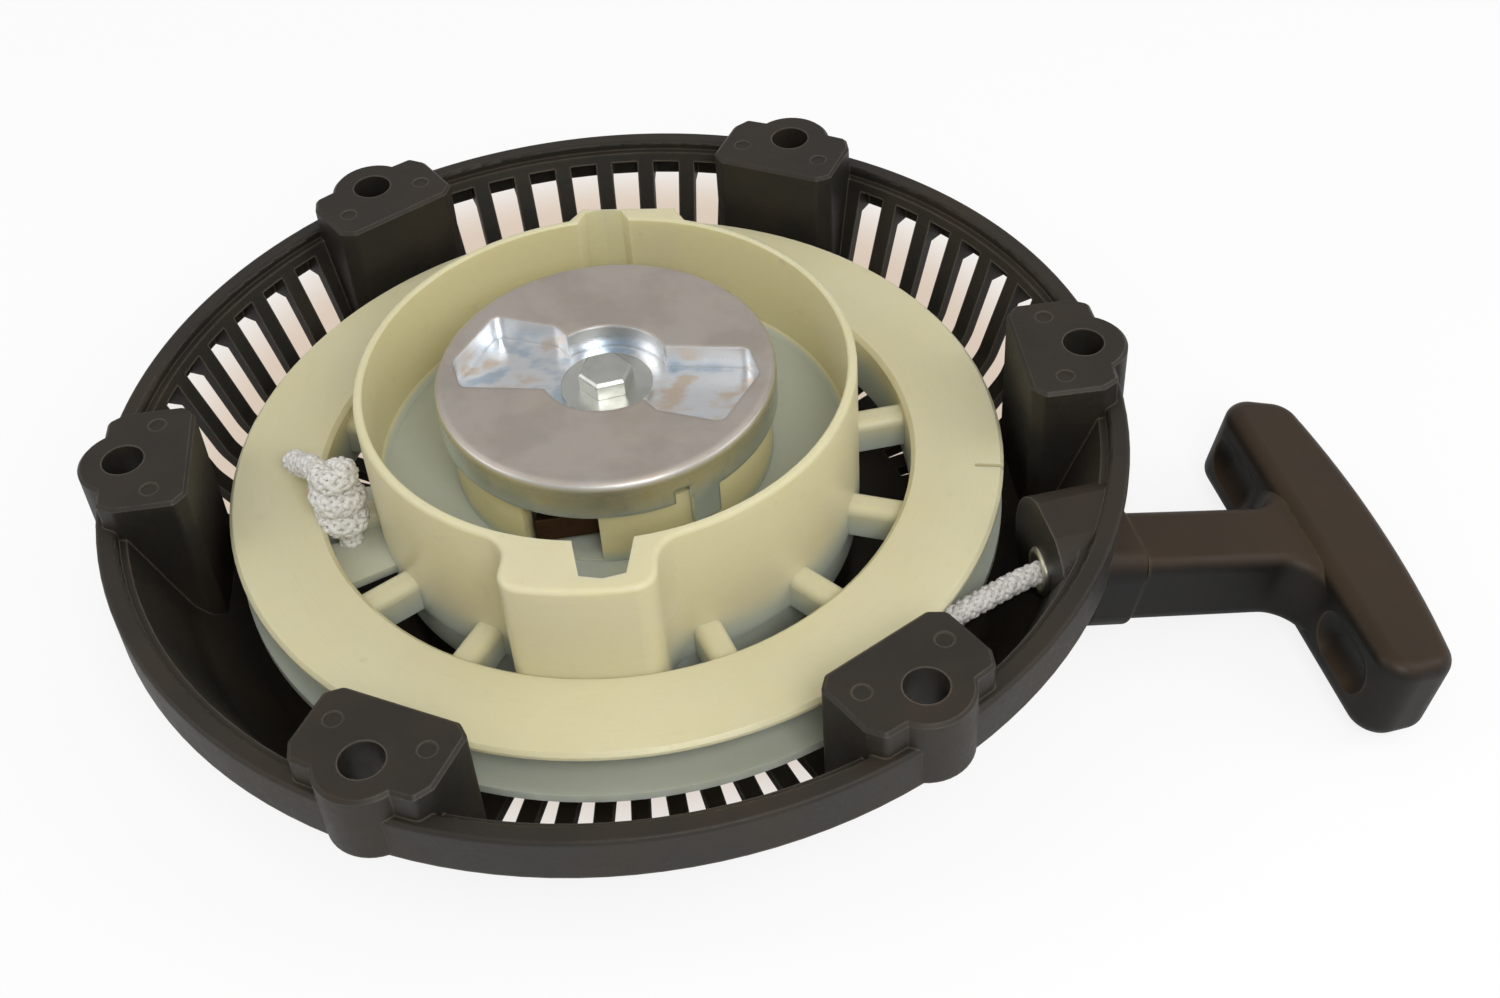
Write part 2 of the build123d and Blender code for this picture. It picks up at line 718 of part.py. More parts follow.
with BuildPart() as guide_plate:
    with BuildSketch(Plane.XZ):
        with BuildLine():
            Polyline(
                (0, cap_under_z),
                (cap_radius - cap_sheet, cap_under_z),
                (cap_radius - cap_sheet, cap_top - cap_skirt),
                (cap_radius, cap_top - cap_skirt),
                (cap_radius, cap_top - 1.6),
                (cap_radius - 0.5, cap_top - 0.5),
                (cap_radius - 1.6, cap_top),
                (0, cap_top),
                close=True,
            )
        make_face()
    revolve()
    with BuildSketch(Plane.XY.offset(recess_under_z)):
        offset(bow_tie.sketch, amount=cap_sheet)
        Circle(cap_radius - 0.4, mode=Mode.INTERSECT)
    extrude(amount=cap_under_z - recess_under_z + 0.4)
    with BuildSketch(Plane.XY.offset(recess_top_z)):
        add(bow_tie.sketch)
    extrude(amount=cap_recess + 1, mode=Mode.SUBTRACT)
    # drive tabs, each with a notch in the skirt beside it
    with BuildSketch(Plane.XY.offset(cap_top - cap_skirt - cap_tab_drop)):
        Circle(cap_radius)
        Circle(cap_radius - cap_sheet, mode=Mode.SUBTRACT)
        with Locations(Location((0, 0, 0), (0, 0, cap_tab_angle))):
            Rectangle(3 * cap_radius, cap_tab_width, mode=Mode.INTERSECT)
    extrude(amount=cap_tab_drop + 1)
    with BuildSketch(Plane.XY.offset(cap_top - cap_skirt - 1)):
        with Locations(Location((0, 0, 0), (0, 0, cap_tab_angle - 8.5))):
            with Locations((36, 0), (-36, 0)):
                Rectangle(6, 3.6)
    extrude(amount=4.5, mode=Mode.SUBTRACT)
    with BuildSketch(Plane.XY.offset(recess_under_z - 1)):
        Circle(bolt_radius + 0.08)
    extrude(amount=6, mode=Mode.SUBTRACT)
finish(guide_plate.part, "guide_plate")

# ---------------------------------------------------------------- centre stack
with BuildPart() as thrust_washer:
    with BuildSketch(Plane.XY.offset(-shaft_top)):
        Circle(12.6)
        Circle(bolt_radius + 0.2, mode=Mode.SUBTRACT)
    extrude(amount=shaft_top)
finish(thrust_washer.part, "thrust_washer")

with BuildPart() as friction_spring:
    with BuildSketch(Plane.XZ):
        with BuildLine():
            Polyline((4.5, 0), (6.0, 0), (11.5, recess_under_z - 0.75), (11.5, recess_under_z), (10, recess_under_z), (4.5, 0.75), close=True)
        make_face()
    revolve()
finish(friction_spring.part, "friction_spring")

with BuildPart() as bolt_washer:
    with BuildSketch(Plane.XY.offset(recess_top_z)):
        Circle(bolt_washer_radius)
        Circle(bolt_radius + 0.2, mode=Mode.SUBTRACT)
    extrude(amount=bolt_washer_height)
finish(bolt_washer.part, "bolt_washer")

with BuildPart() as centre_bolt:
    with BuildSketch(Plane.XY.offset(-shaft_top - insert_length + 1)):
        Circle(bolt_radius)
    extrude(amount=recess_top_z + bolt_washer_height + 1 + shaft_top + insert_length - 1)
    with BuildSketch(Plane.XY.offset(recess_top_z + bolt_washer_height)):
        RegularPolygon(bolt_hex / 2, 6, major_radius=False, rotation=12)
    extrude(amount=bolt_head)
    chamfer(centre_bolt.faces().sort_by(Axis.Z)[-1].edges(), length=0.6)
finish(centre_bolt.part, "centre_bolt")

# ---------------------------------------------------------------- recoil spring
outer_coil = cavity_radius - 0.9
inner_coil = outer_coil - spring_pitch * spring_packed_turns
anchor_coil = anchor_radius + 1.2
loose_turns = 2.0


def coil_radius(turns):
    """Centre radius of the strip after a number of turns from its outer end."""
    if turns <= spring_packed_turns:
        return outer_coil - spring_pitch * turns
    part = (turns - spring_packed_turns) / loose_turns
    return inner_coil + (anchor_coil - inner_coil) * part


def coil_edge(side):
    """One edge of the strip as arcs, a sixth of a turn each."""
    total = spring_packed_turns + loose_turns
    steps = int(total * 6)
    for k in range(steps):
        places = []
        for h in (0, 0.5, 1):
            turns = (k + h) / 6
            radius = coil_radius(turns) + side * spring_strip / 2
            places.append(flat(radius, spring_hook_angle - 360 * turns))
        ThreePointArc(*places)
    return places[-1]


with BuildPart() as recoil_spring:
    with BuildSketch(Plane.XY.offset(plateau_z + 1.2)):
        with BuildLine():
            end_out = coil_edge(1)
            end_in = coil_edge(-1)
            Line(end_out, end_in)
            Line(
                flat(coil_radius(0) + spring_strip / 2, spring_hook_angle),
                flat(coil_radius(0) - spring_strip / 2, spring_hook_angle),
            )
        make_face()
        with Locations(Location((0, 0, 0), (0, 0, spring_hook_angle))):
            with Locations((outer_coil + 0.4, 0)):
                Rectangle(1.8, 1.2)
    extrude(amount=spring_width)
finish(recoil_spring.part, "recoil_spring")

# ---------------------------------------------------------------- grip
with BuildSketch(Plane.XZ) as bar_outline:
    with BuildLine():
        Polyline(
            (-bar_half_length + bar_taper, bar_outer),
            (-bar_half_length, bar_inner),
            (bar_half_length, bar_inner),
            (bar_half_length - bar_taper, bar_outer),
        )
        ThreePointArc(
            (bar_half_length - bar_taper, bar_outer),
            (0, bar_outer + bar_bow),
            (-bar_half_length + bar_taper, bar_outer),
        )
    make_face()
    fillet(bar_outline.vertices(), radius=bar_corner)

with BuildSketch(Plane.XZ) as tee_outline:
    add(bar_outline.sketch)
    with Locations((0, 0.5 * (bar_inner + 6))):
        Rectangle(2 * stem_half_width, bar_inner + 6)
    necks = [v for v in tee_outline.vertices() if abs(v.Y - bar_inner) < 0.01]
    fillet([v for v in necks if abs(abs(v.X) - stem_half_width) < 0.01], radius=stem_blend)

with BuildPart() as grip:
    # stem, running into the bar
    extrude(tee_outline.sketch, amount=stem_half_height, both=True)
    fillet(grip.faces().filter_by(Axis.Y).edges(), radius=grip_edge)
    # cross bar, taller than the stem
    with BuildPart(mode=Mode.PRIVATE) as cross_bar:
        extrude(bar_outline.sketch, amount=bar_half_height, both=True)
        fillet(cross_bar.faces().filter_by(Axis.Y).edges(), radius=grip_edge)
    add(cross_bar.part)
    # collar that seats in the housing
    with BuildPart(mode=Mode.PRIVATE) as collar:
        with BuildSketch():
            RectangleRounded(2 * collar_half, 2 * collar_half, collar_corner)
        extrude(amount=collar_length)
        fillet(collar.faces().filter_by(Axis.Z).edges(), radius=collar_edge)
    add(collar.part)
    # finger scoops on the stem side of both arms
    for side in (-1, 1):
        for scoop in (side * scoop_start, side * scoop_end):
            with Locations((scoop, 0, bar_inner + scoop_depth - scoop_radius)):
                Sphere(scoop_radius, mode=Mode.SUBTRACT)
        with Locations(
            Location((side * 0.5 * (scoop_start + scoop_end), 0, bar_inner + scoop_depth - scoop_radius), (0, 90, 0))
        ):
            Cylinder(scoop_radius, scoop_end - scoop_start, mode=Mode.SUBTRACT)
    # rope bore, and the knot pocket open on the under side
    Cylinder(rope_radius + 0.2, bar_inner + 5, align=(Align.CENTER, Align.CENTER, Align.MIN), mode=Mode.SUBTRACT)
    with Locations((0, -3.2, bar_inner + 8)):
        Box(13.6, 20, 14.8, mode=Mode.SUBTRACT)
finish(grip.part.moved(grip_place), "grip")

pocket_low = bar_inner + 0.6
with BuildPart() as knot_washer:
    with BuildSketch(Plane.XY.offset(pocket_low)):
        Circle(6.4)
        Circle(rope_radius + 0.2, mode=Mode.SUBTRACT)
    extrude(amount=1.2)
finish(knot_washer.part.moved(grip_place), "knot_washer")

with BuildPart() as rope_tail:
    Cylinder(rope_radius, pocket_low + 1.2, align=(Align.CENTER, Align.CENTER, Align.MIN))
finish(rope_tail.part.moved(grip_place), "rope_tail")

with BuildPart() as handle_knot:
    add(turned_ball(handle_knot_radius).moved(Pos(0, 0, pocket_low + 1.2 + handle_knot_radius)))
finish(handle_knot.part.moved(grip_place), "handle_knot")

lead_radius = 0.45 * exit_wall / tan(radians(grip_droop) / 2)
with BuildPart() as rope_lead:
    with BuildLine():
        FilletPolyline(run_end, exit_point, mouth, radius=lead_radius)
    with BuildSketch(Plane(origin=run_end, z_dir=pull)):
        Circle(rope_radius)
    sweep()
finish(rope_lead.part, "rope_lead")
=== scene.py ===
"""Looks for the recoil starter: a finish for every piece, and its braided cord and knot."""
import json
import logging
import math
from dataclasses import dataclass, field
from enum import Enum
from typing import Any, Optional, Sequence, Union

import bmesh
import bpy
from mathutils import Matrix, Vector


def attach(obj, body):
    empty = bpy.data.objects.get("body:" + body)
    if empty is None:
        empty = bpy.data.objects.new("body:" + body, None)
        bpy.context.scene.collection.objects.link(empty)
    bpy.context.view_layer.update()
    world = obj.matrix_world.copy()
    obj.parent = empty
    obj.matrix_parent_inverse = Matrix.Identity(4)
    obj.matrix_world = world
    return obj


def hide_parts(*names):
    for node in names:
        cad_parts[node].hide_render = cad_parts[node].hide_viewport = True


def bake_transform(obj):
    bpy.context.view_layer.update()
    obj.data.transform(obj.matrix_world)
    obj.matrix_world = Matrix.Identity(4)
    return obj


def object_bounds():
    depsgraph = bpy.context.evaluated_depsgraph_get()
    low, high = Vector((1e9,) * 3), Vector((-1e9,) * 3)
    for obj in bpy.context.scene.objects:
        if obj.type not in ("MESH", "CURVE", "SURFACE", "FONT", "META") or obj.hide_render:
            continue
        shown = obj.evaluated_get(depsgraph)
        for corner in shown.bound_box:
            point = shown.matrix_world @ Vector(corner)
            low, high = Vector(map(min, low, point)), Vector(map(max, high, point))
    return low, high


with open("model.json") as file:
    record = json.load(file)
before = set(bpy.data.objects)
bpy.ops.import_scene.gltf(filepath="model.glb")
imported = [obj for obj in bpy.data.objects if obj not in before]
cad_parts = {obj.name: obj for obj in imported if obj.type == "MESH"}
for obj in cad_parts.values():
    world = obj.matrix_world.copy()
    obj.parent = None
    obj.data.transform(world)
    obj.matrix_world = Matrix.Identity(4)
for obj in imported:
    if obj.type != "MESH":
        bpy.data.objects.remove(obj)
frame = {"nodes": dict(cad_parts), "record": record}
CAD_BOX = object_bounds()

log = logging.getLogger("recoil_starter")
MM = 0.001
TINY = 1e-12
RING_TURN = 0.004
SCATTER_DEPTH = 5 * MM
SCATTER_TINT = (1.0, 0.85, 0.5)
WHITE = (1.0, 1.0, 1.0)
Colour = tuple[float, float, float]
Place = tuple[float, float, float]
Span = tuple[float, float]
Value = Union["Term", float]


def srgb(red: int, green: int, blue: int) -> Colour:
    """Turns display values from 0 to 255 into linear light.

    Args:
        red: red from 0 to 255.
        green: green from 0 to 255.
        blue: blue from 0 to 255.

    Returns:
        The linear colour.
    """
    def lift(value: int) -> float:
        """Returns one channel in linear light."""
        part = value / 255
        return part / 12.92 if part <= 0.04045 else ((part + 0.055) / 1.055) ** 2.4

    return lift(red), lift(green), lift(blue)


class Term:
    """A number that changes over a surface, so that shader maths reads as Python."""

    def __init__(self, graph: "Graph", socket: bpy.types.NodeSocket) -> None:
        """Wraps one output socket of a graph."""
        self.graph = graph
        self.socket = socket

    def _math(self, operation: str, *values: Value) -> "Term":
        """Adds one Math node.

        Args:
            operation: the node's operation.
            values: the node's inputs in order.

        Returns:
            The node's result.
        """
        return self.graph.term("ShaderNodeMath", {"operation": operation}, dict(enumerate(values)))

    def __add__(self, other: Value) -> "Term":
        """Returns the sum."""
        return self._math("ADD", self, other)

    def __sub__(self, other: Value) -> "Term":
        """Returns the difference."""
        return self._math("SUBTRACT", self, other)

    def __mul__(self, other: Value) -> "Term":
        """Returns the product."""
        return self._math("MULTIPLY", self, other)

    def __rsub__(self, other: Value) -> "Term":
        """Returns a number less this one."""
        return self._math("SUBTRACT", other, self)

    __radd__ = __add__
    __rmul__ = __mul__

    def power(self, exponent: Value) -> "Term":
        """Returns this raised to an exponent."""
        return self._math("POWER", self, exponent)

    def larger(self, other: Value) -> "Term":
        """Returns the larger of two."""
        return self._math("MAXIMUM", self, other)

    def ramp(self, low: float, high: float) -> "Term":
        """Rises smoothly from 0 at low to 1 at high.

        Args:
            low: where the result is 0.
            high: where the result is 1.

        Returns:
            The smooth step.
        """
        settings = {"interpolation_type": "SMOOTHSTEP", "clamp": True}
        inputs = {"Value": self, "From Min": low, "From Max": high}
        return self.graph.term("ShaderNodeMapRange", settings, inputs)


class Graph:
    """The node tree of one material, or of the world."""

    def __init__(self, holder: Union[bpy.types.Material, bpy.types.World]) -> None:
        """Empties a holder's node tree.

        Args:
            holder: the material or world.
        """
        holder.use_nodes = True
        self.material = holder
        self.tree = holder.node_tree
        self.tree.nodes.clear()
        self._place: Optional[bpy.types.Node] = None

    @classmethod
    def named(cls, name: str) -> "Graph":
        """Returns the graph of a new material."""
        return cls(bpy.data.materials.new(name))

    def node(self, kind: str, settings: Optional[dict[str, Any]] = None,
             inputs: Optional[dict[Any, Any]] = None) -> bpy.types.Node:
        """Adds any node.

        Args:
            kind: the node's type.
            settings: its properties, set first.
            inputs: values or links for its sockets, by name or number.

        Returns:
            The node.
        """
        made = self.tree.nodes.new(kind)
        for name, value in (settings or {}).items():
            setattr(made, name, value)
        for name, value in (inputs or {}).items():
            socket = made.inputs[name]
            if isinstance(value, Term):
                self.tree.links.new(value.socket, socket)
            elif isinstance(value, bpy.types.NodeSocket):
                self.tree.links.new(value, socket)
            elif isinstance(value, tuple) and len(value) == 3 and socket.type == "RGBA":
                socket.default_value = (*value, 1.0)
            else:
                socket.default_value = value
        return made

    def term(self, kind: str, settings: Optional[dict[str, Any]] = None,
             inputs: Optional[dict[Any, Any]] = None, output: Any = 0) -> Term:
        """Adds a node and returns one of its outputs as a term."""
        return Term(self, self.node(kind, settings, inputs).outputs[output])

    def place(self) -> bpy.types.NodeSocket:
        """Returns the object coordinates, in metres."""
        if self._place is None:
            self._place = self.node("ShaderNodeTexCoord")
        return self._place.outputs["Object"]

    def axis(self, name: str) -> Term:
        """Returns one object coordinate in millimetres.

        Args:
            name: X, Y or Z.

        Returns:
            The coordinate.
        """
        split = self.node("ShaderNodeSeparateXYZ", None, {0: self.place()})
        return Term(self, split.outputs[name]) * 1000.0

    def radius(self) -> Term:
        """Returns the distance from the drum's axis in millimetres."""
        across, along = self.axis("X"), self.axis("Y")
        return (across * across + along * along).power(0.5)

    def noise(self, size: float, detail: float = 4.0, rough: float = 0.55,
              vector: Optional[bpy.types.NodeSocket] = None) -> Term:
        """Adds a noise whose features are about one size across.

        Args:
            size: feature size in millimetres.
            detail: octaves.
            rough: weight of the fine octaves.
            vector: coordinates, or the object's own.

        Returns:
            The noise, about 0.5 on average.
        """
        inputs = {"Vector": vector or self.place(), "Scale": 1000.0 / size, "Detail": detail,
                  "Roughness": rough}
        return self.term("ShaderNodeTexNoise", None, inputs)

    def stretched(self, scale: Place) -> bpy.types.NodeSocket:
        """Returns object coordinates scaled differently along each axis."""
        made = self.node("ShaderNodeMapping", None, {"Vector": self.place(), "Scale": scale})
        return made.outputs[0]

    def rings(self) -> bpy.types.NodeSocket:
        """Returns coordinates of radius, height and a slow angle, for turned and moulded rings."""
        split = self.node("ShaderNodeSeparateXYZ", None, {0: self.place()})
        angle = self.term("ShaderNodeMath", {"operation": "ARCTAN2"},
                          {0: split.outputs["Y"], 1: split.outputs["X"]})
        parts = {"X": self.radius() * MM, "Y": self.axis("Z") * MM, "Z": angle * RING_TURN}
        return self.node("ShaderNodeCombineXYZ", None, parts).outputs[0]

    def mix(self, amount: Value, first: Any, second: Any) -> bpy.types.NodeSocket:
        """Mixes two colours.

        Args:
            amount: share of the second.
            first: colour or link.
            second: colour or link.

        Returns:
            The mixed colour.
        """
        factor, low, high, result = 0, 6, 7, 2
        made = self.node("ShaderNodeMix", {"data_type": "RGBA"},
                         {factor: amount, low: first, high: second})
        return made.outputs[result]

    def rounded(self, width: float) -> bpy.types.NodeSocket:
        """Returns a normal that turns softly round edges, over a width in millimetres."""
        return self.node("ShaderNodeBevel", {"samples": 4}, {"Radius": width * MM}).outputs[0]

    def edges(self, width: float) -> Term:
        """Finds outer and inner edges by how far a rounded normal turns from the real one.

        Args:
            width: reach in millimetres.

        Returns:
            0 on open faces, rising towards an edge.
        """
        flat = self.node("ShaderNodeNewGeometry")
        same = self.node("ShaderNodeVectorMath", {"operation": "DOT_PRODUCT"},
                         {0: self.rounded(width), 1: flat.outputs["Normal"]})
        return 1.0 - Term(self, same.outputs["Value"])

    def upward(self) -> Term:
        """Returns how far a face looks up, from 0 to 1."""
        split = self.node("ShaderNodeSeparateXYZ", None,
                          {0: self.node("ShaderNodeNewGeometry").outputs["Normal"]})
        return Term(self, split.outputs["Z"]).ramp(0.25, 0.95)

    def bump(self, height: Term, strength: float, depth: float,
             below: Optional[bpy.types.NodeSocket] = None) -> bpy.types.NodeSocket:
        """Adds a bump.

        Args:
            height: from 0 to 1.
            strength: share of the effect.
            depth: full depth in millimetres.
            below: another bump's normal to build on.

        Returns:
            The normal.
        """
        inputs: dict[Any, Any] = {"Height": height, "Strength": strength, "Distance": depth * MM}
        if below is not None:
            inputs["Normal"] = below
        return self.node("ShaderNodeBump", None, inputs).outputs[0]

    def surface(self, colour: Any, roughness: Value, metallic: float,
                normal: bpy.types.NodeSocket, coat: float = 0.0, specular: float = 0.5,
                scatter: float = 0.0) -> bpy.types.Material:
        """Ends the graph in one Principled shader.

        Args:
            colour: base colour or link.
            roughness: value or term.
            metallic: 0 or 1.
            normal: the link of its normal.
            coat: clear coat weight.
            specular: specular level.
            scatter: share of the light that spreads a few millimetres inside.

        Returns:
            The finished material.
        """
        inputs = {"Base Color": colour, "Roughness": roughness, "Metallic": metallic,
                  "Normal": normal, "Coat Weight": coat, "Specular IOR Level": specular,
                  "Subsurface Weight": scatter, "Subsurface Scale": SCATTER_DEPTH,
                  "Subsurface Radius": SCATTER_TINT}
        shader = self.node("ShaderNodeBsdfPrincipled", None, inputs)
        self.node("ShaderNodeOutputMaterial", None, {"Surface": shader.outputs[0]})
        return self.material


# ------------------------------------------------------------------ finishes
@dataclass(frozen=True)
class HousingPlastic:
    """Brown-black moulded housing, half shiny, with painted top light that makes upward faces
    browner, and pale edges that are partly rubbed and partly a painted edge highlight.

    Feature sizes are in millimetres, here and in the other finishes.
    """

    dark: Colour = srgb(36, 34, 30)
    # warm: the plastic's own warm tone at random, and also the painted top light on upward faces
    warm: Colour = srgb(52, 43, 32)
    # rubbed: pale edge tone, partly real rubbing and partly a painted edge highlight
    rubbed: Colour = srgb(124, 114, 102)
    cloud_size: float = 24.0
    speck_size: float = 1.6
    rub_and_glint_reach: float = 0.9
    rub_and_glint_size: float = 7.0
    grain_size: float = 0.7
    sink_size: float = 9.0
    shine: float = 0.34

    def build(self) -> bpy.types.Material:
        """Returns the material."""
        g = Graph.named("housing_plastic")
        cloud = g.noise(self.cloud_size, 5.0).ramp(0.38, 0.68)
        speck = g.noise(self.speck_size, 3.0)
        patchy = 0.2 + g.noise(self.rub_and_glint_size, 4.0) * 1.5
        # Pale edges: partly real rubbing, partly a painted edge highlight; the lower roughness
        # there is real.
        edge = (g.edges(self.rub_and_glint_reach) * patchy).ramp(0.05, 0.3)
        # Painted top light: upward faces are mixed towards the warm tone as if lit from above; the
        # cloud share is the plastic's own tone.
        colour = g.mix(cloud * 0.6 + g.upward() * 0.3, self.dark, self.warm)
        colour = g.mix(speck.ramp(0.52, 0.75) * 0.3, colour, self.warm)
        colour = g.mix(edge * 0.65, colour, self.rubbed)
        rough = 0.4 + speck * 0.16 - edge * 0.14 + cloud * 0.08
        sinks = g.bump(g.noise(self.sink_size, 3.0), 0.45, 0.5)
        normal = g.bump(g.noise(self.grain_size, 2.0), 0.45, 0.1, sinks)
        return g.surface(colour, rough, 0.0, normal, specular=self.shine)


@dataclass(frozen=True)
class DrumNylon:
    """Ivory nylon drum that lets light in: cream rings, with painted shade as a deeper yellow
    inside the cup and as a cooler bluish tone low down and on the cup floor.

    A wall is a span of radius over which a tone changes, and a depth is a span of height.
    """

    cream: Colour = srgb(220, 212, 176)
    # yellow: the nylon's own tone at random, and also painted shade inside the cup
    yellow: Colour = srgb(216, 207, 160)
    # cool: painted shade, a bluish tone low down and on the cup floor
    cool: Colour = srgb(186, 194, 184)
    soil: Colour = srgb(150, 132, 92)
    sheave_depth: Span = (-25.0, -16.0)
    cup_wall: Span = (51.5, 52.6)
    cup_depth: Span = (-14.5, -12.0)
    floor_wall: Span = (51.0, 52.0)
    floor_depth: Span = (-13.6, -10.0)
    cloud_size: float = 26.0
    ring_size: float = 0.5
    stain_size: float = 5.0
    grain_size: float = 1.1
    coat: float = 0.1
    shine: float = 0.5
    glow: float = 0.5

    def build(self) -> bpy.types.Material:
        """Returns the material."""
        g = Graph.named("drum_nylon")
        height, radius = g.axis("Z"), g.radius()
        low = 1.0 - height.ramp(*self.sheave_depth)
        inside = (1.0 - radius.ramp(*self.cup_wall)) * height.ramp(*self.cup_depth)
        floor = (1.0 - radius.ramp(*self.floor_wall)) * (1.0 - height.ramp(*self.floor_depth))
        cloud = g.noise(self.cloud_size, 5.0).ramp(0.35, 0.7)
        colour = g.mix(cloud * 0.4, self.cream, self.yellow)
        # Painted shade: the inside of the cup is mixed deep into yellow, as the translucent nylon
        # looks in its shade.
        colour = g.mix(inside * 0.8, colour, self.yellow)
        # Painted shade: below the sheave's top and on the cup floor the colour is mixed towards
        # the cool bluish tone.
        colour = g.mix(low.larger(floor) * 0.85, colour, self.cool)
        rubbed = g.noise(self.ring_size, 6.0, 0.7, g.rings()).ramp(0.5, 0.8)
        colour = g.mix(rubbed * 0.12, colour, self.soil)
        stain = g.noise(self.stain_size, 5.0).ramp(0.62, 0.84)
        colour = g.mix(stain * 0.22, colour, self.soil)
        rough = 0.36 + cloud * 0.1 + rubbed * 0.12
        normal = g.bump(g.noise(self.grain_size, 3.0), 0.2, 0.1, g.bump(rubbed, 0.12, 0.08))
        return g.surface(colour, rough, 0.0, normal, self.coat, self.shine, self.glow)


class Metal(Enum):
    """Metals of the small pieces: colour, roughness and feature size in millimetres."""

    ZINC = (srgb(205, 206, 200), 0.27, 2.4)
    SPRING = (srgb(118, 118, 120), 0.34, 0.8)
    PAWL = (srgb(84, 62, 46), 0.48, 0.7)
    EYELET = (srgb(214, 211, 196), 0.25, 1.2)
    BRASS = (srgb(196, 160, 90), 0.32, 0.9)
    BRONZE = (srgb(170, 124, 78), 0.42, 0.6)


@dataclass(frozen=True)
class MetalFinish:
    """A plain metal with small changes of tone and fine scratches."""

    metal: Metal
    scratch_size: float = 0.35
    edge_width: float = 0.5
    darker: Colour = (0.55, 0.53, 0.5)

    def build(self) -> bpy.types.Material:
        """Returns the material."""
        tone, rough, size = self.metal.value
        g = Graph.named("metal_" + self.metal.name.lower())
        cloud = g.noise(size * 4, 4.0)
        fine = g.noise(size, 3.0)
        dark = tuple(channel * share for channel, share in zip(tone, self.darker))
        colour = g.mix(cloud.ramp(0.4, 0.75) * 0.5, tone, dark)
        scratch = g.noise(self.scratch_size, 4.0, 0.6, g.rings())
        base = g.bump(fine, 0.15, 0.05, g.rounded(self.edge_width))
        normal = g.bump(scratch, 0.12, 0.05, base)
        return g.surface(colour, rough + fine * 0.16, 1.0, normal)


@dataclass(frozen=True)
class ZincPlate:
    """Bright zinc on the pressed plate, with straw and faint blue tints, a painted white and
    bluish reflection in its recess, and a painted white sheen on its sideways faces.
    """

    bright: Colour = srgb(208, 198, 188)
    grey: Colour = srgb(186, 176, 166)
    # blue: a faint tint, and a painted bluish reflection in the recess
    blue: Colour = srgb(158, 184, 206)
    straw: Colour = srgb(214, 180, 136)
    # white: painted reflection in the recess and painted sheen on the sideways faces
    white: Colour = srgb(240, 244, 248)
    recess_depth: Span = (4.2, 8.8)
    cloud_size: float = 13.0
    tint_size: float = 10.0
    scuff_size: float = 0.45
    dent_size: float = 4.0
    edge_width: float = 1.3

    def build(self) -> bpy.types.Material:
        """Returns the material."""
        g = Graph.named("zinc_plate")
        recess = 1.0 - g.axis("Z").ramp(*self.recess_depth)
        cloud = g.noise(self.cloud_size, 4.0)
        tint = g.noise(self.tint_size, 3.0, 0.5, g.stretched((1.0, 1.6, 1.0)))
        colour = g.mix(cloud.ramp(0.4, 0.68) * 0.6, self.bright, self.grey)
        # Painted reflection: the recess is mixed towards white.
        colour = g.mix(recess * 0.75, colour, self.white)
        colour = g.mix(tint.ramp(0.56, 0.7) * (0.06 + recess * 0.5), colour, self.straw)
        # Blue: a faint tint everywhere, and a painted bluish reflection in the recess.
        colour = g.mix((1.0 - tint).ramp(0.48, 0.62) * (0.05 + recess * 0.55), colour, self.blue)
        brushed = g.stretched((1.0, 7.0, 1.0))
        scuff = g.noise(self.scuff_size, 5.0, 0.65, brushed).ramp(0.5, 0.75)
        # Painted sheen: faces that look sideways are mixed towards white as if catching light;
        # they are also made glossier.
        skirt = 1.0 - g.upward()
        colour = g.mix(skirt * 0.6, colour, self.white)
        rough = 0.42 + cloud * 0.12 + scuff * 0.08 - skirt * 0.14 - recess * 0.16
        dents = g.bump(g.noise(self.dent_size, 2.0), 0.2, 0.12, g.rounded(self.edge_width))
        return g.surface(colour, rough, 1.0, g.bump(scuff, 0.12, 0.04, dents))


@dataclass(frozen=True)
class BraidedNylon:
    """White nylon cord, with soft grey in the hollows and fine fibres."""

    white: Colour = srgb(236, 235, 230)
    grey: Colour = srgb(176, 172, 162)
    shade: Colour = srgb(182, 168, 158)
    soil_size: float = 7.0
    fibre_size: float = 0.22
    tuft_size: float = 1.0
    dull: float = 0.62
    shine: float = 0.35

    def build(self) -> bpy.types.Material:
        """Returns the material."""
        g = Graph.named("braided_nylon")
        soil = g.noise(self.soil_size, 4.0).ramp(0.5, 0.8)
        fibre = g.noise(self.fibre_size, 2.0, 0.6)
        tuft = g.noise(self.tuft_size, 3.0, 0.6).ramp(0.46, 0.6)
        colour = g.mix(soil * 0.35, self.white, self.grey)
        colour = g.mix(tuft * 0.45, colour, self.shade)
        colour = g.mix(fibre.ramp(0.45, 0.8) * 0.3, colour, self.grey)
        return g.surface(colour, self.dull, 0.0, g.bump(fibre, 0.35, 0.08), specular=self.shine)


